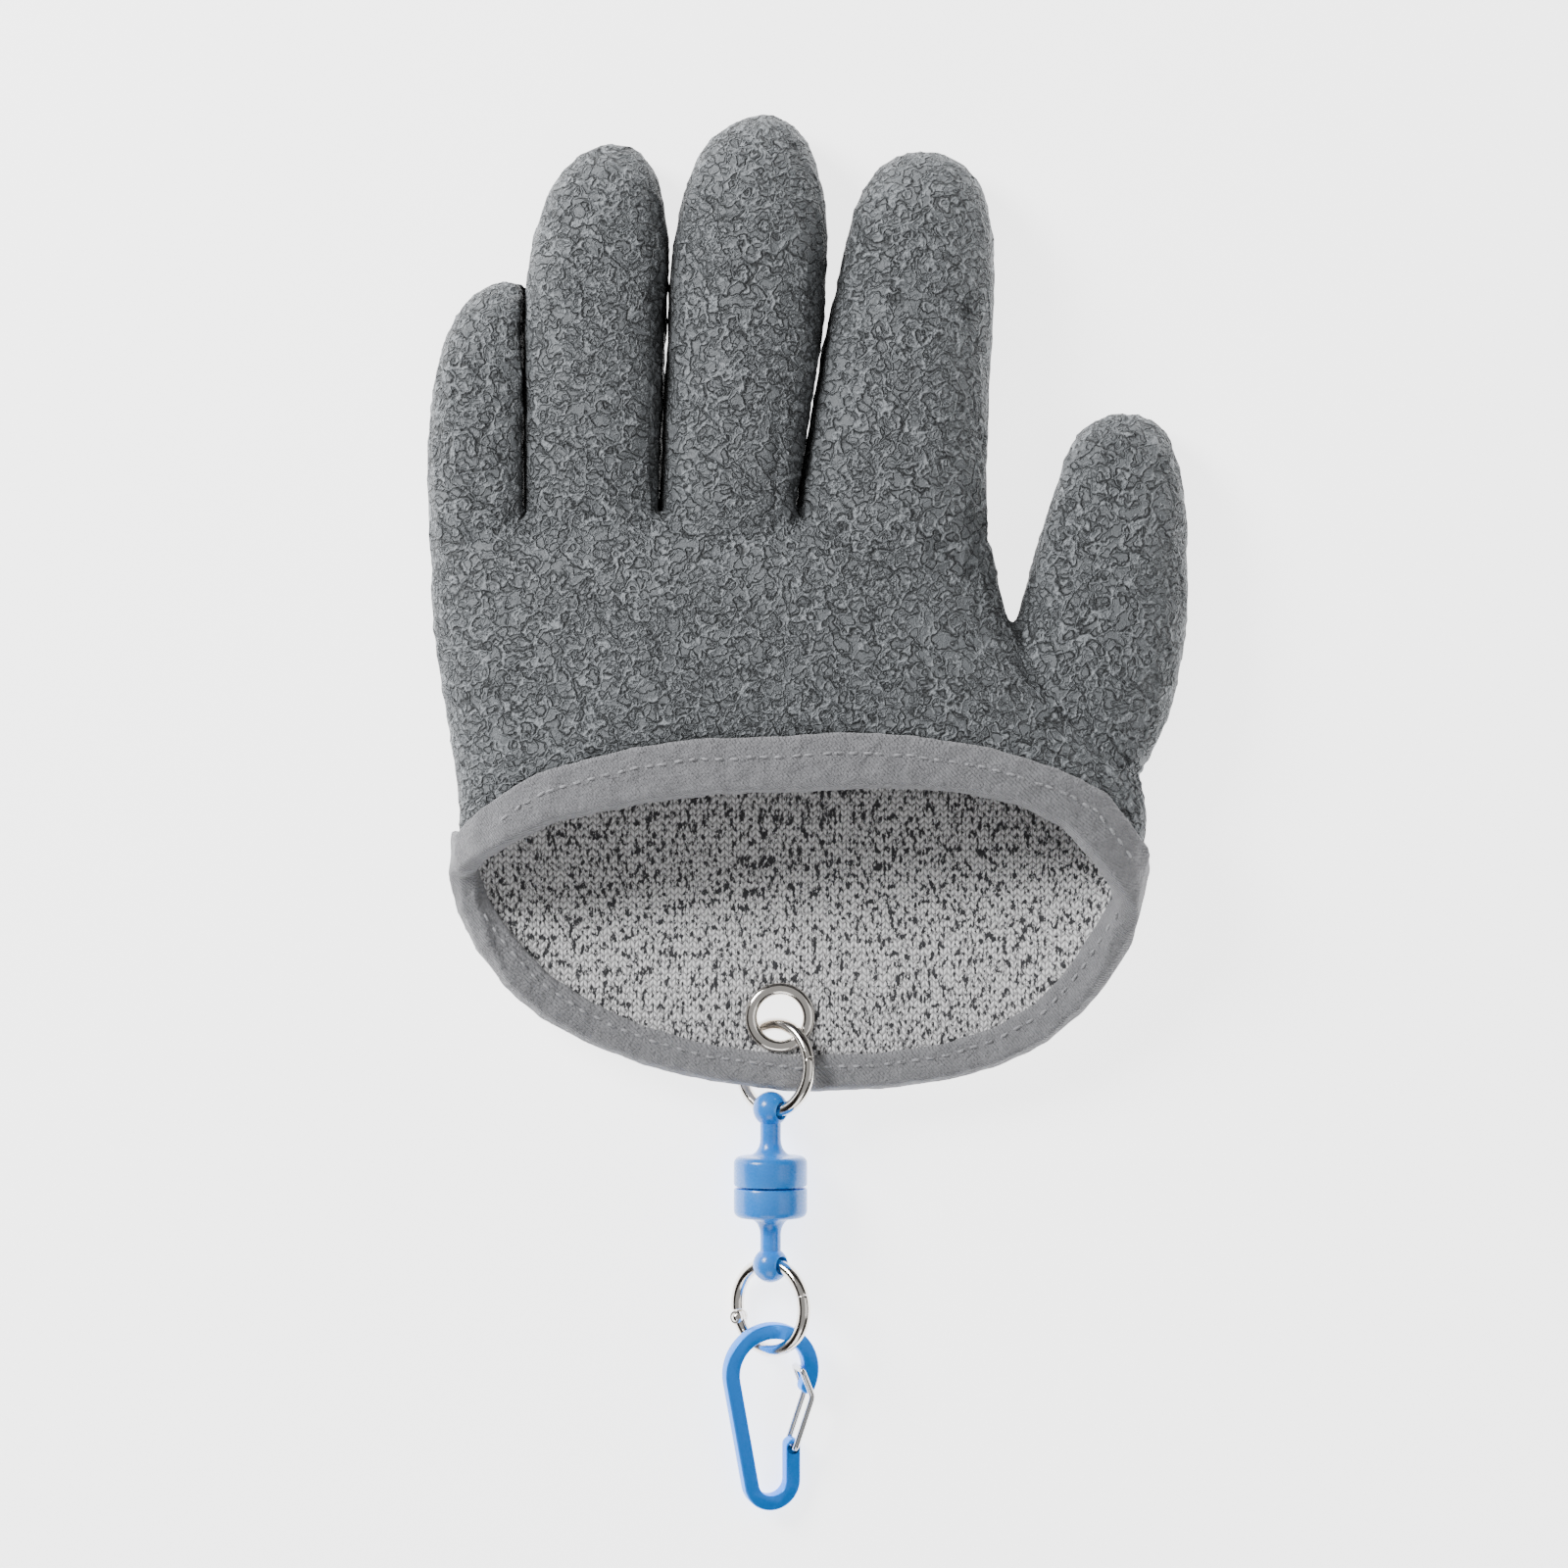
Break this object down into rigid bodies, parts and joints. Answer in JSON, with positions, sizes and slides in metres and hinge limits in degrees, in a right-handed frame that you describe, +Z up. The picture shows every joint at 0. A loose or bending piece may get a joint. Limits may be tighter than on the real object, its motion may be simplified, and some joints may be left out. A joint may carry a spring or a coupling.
{
  "type": "fishing glove",
  "caption": "Left-hand landing glove of crinkled latex over a knitted liner, with a bound open cuff, an eyelet, hinged rings, a magnetic release and a wire-gate clip.",
  "frame": {"origin": "on the surface the glove lies on, under the middle of the whole thing's box", "axes": "+Y runs from the clip to the fingertips, +X to the thumb's side, +Z up from the palm to the back of the hand"},
  "size_m": [0.1568, 0.2892, 0.0314],
  "materials": {
    "latex": "matt crinkle-textured grey latex coating",
    "knit": "melange yarn jersey knit, light grey with black flecks",
    "binding": "soft grey elastic tape, folded and stitched",
    "nickel": "bright nickel plating",
    "magnet_blue": "glossy blue enamel",
    "clip_blue": "blue anodised aluminium, satin",
    "gate_steel": "bright spring steel wire"
  },
  "bodies": {
    "glove": {"latex_shell": "latex", "knit_liner": "knit", "cuff_binding": "binding", "eyelet": "nickel", "upper_ring_fixed_half": "nickel", "upper_ring_swing_half": "nickel", "magnet_upper_half": "magnet_blue"},
    "release": {"magnet_lower_half": "magnet_blue", "lower_ring_fixed_half": "nickel", "lower_ring_swing_half": "nickel", "clip_body": "clip_blue"},
    "gate": {"clip_gate": "gate_steel"}
  },
  "joints": [
    {"name": "magnet_release", "type": "slide", "parent": "glove", "child": "release", "axis": [0, -1, 0], "range_m": [0, 0.04]},
    {"name": "gate_hinge", "type": "hinge", "parent": "release", "child": "gate", "pos_m": [-0.00361, -0.13148, 0.0033], "axis": [0.342, -0.1243, 0.9314], "range_deg": [0, 24], "stiffness_Nm_per_rad": 0.01, "springref_deg": -5.73}
  ]
}
